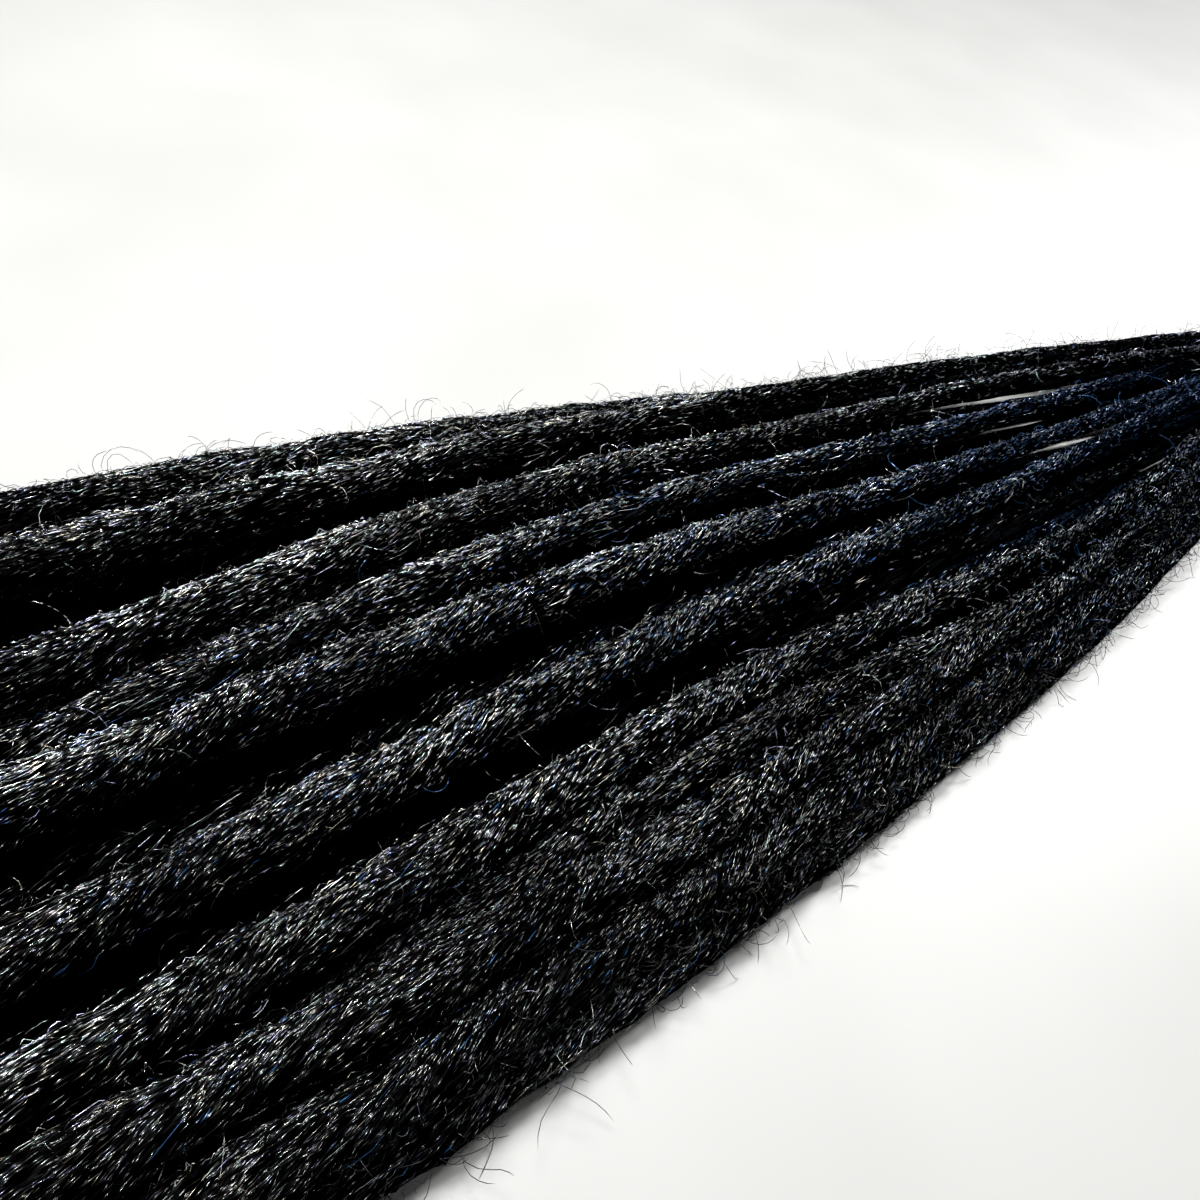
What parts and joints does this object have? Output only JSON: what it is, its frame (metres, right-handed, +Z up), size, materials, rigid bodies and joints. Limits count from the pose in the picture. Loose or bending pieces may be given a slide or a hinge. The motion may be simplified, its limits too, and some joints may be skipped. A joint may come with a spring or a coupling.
{
  "type": "dreadlock extension bundle",
  "caption": "Bundle of loose felted dreadlock extensions, held at their thin root ends by a tie and fanning out to blunt tapered tips.",
  "frame": {"origin": "on the surface it rests on, under the middle of the tie, at the tie's flat underside", "axes": "+X from the tie to the tips, +Z up from the surface, +Y across the bundle"},
  "size_m": [0.501, 0.1316, 0.0227],
  "materials": {
    "lock_hair": "felted black synthetic hair with a fine sheen",
    "tie_band": "matt elastic"
  },
  "bodies": {
    "root": {"root_tie": "tie_band", "lock_01": "lock_hair", "lock_02": "lock_hair", "lock_03": "lock_hair", "lock_04": "lock_hair", "lock_05": "lock_hair", "lock_06": "lock_hair", "lock_07": "lock_hair", "lock_08": "lock_hair", "lock_09": "lock_hair", "lock_10": "lock_hair", "lock_11": "lock_hair", "lock_12": "lock_hair", "lock_13": "lock_hair", "lock_14": "lock_hair", "lock_15": "lock_hair", "lock_16": "lock_hair", "lock_17": "lock_hair", "lock_18": "lock_hair", "lock_19": "lock_hair", "lock_20": "lock_hair"}
  },
  "joints": []
}
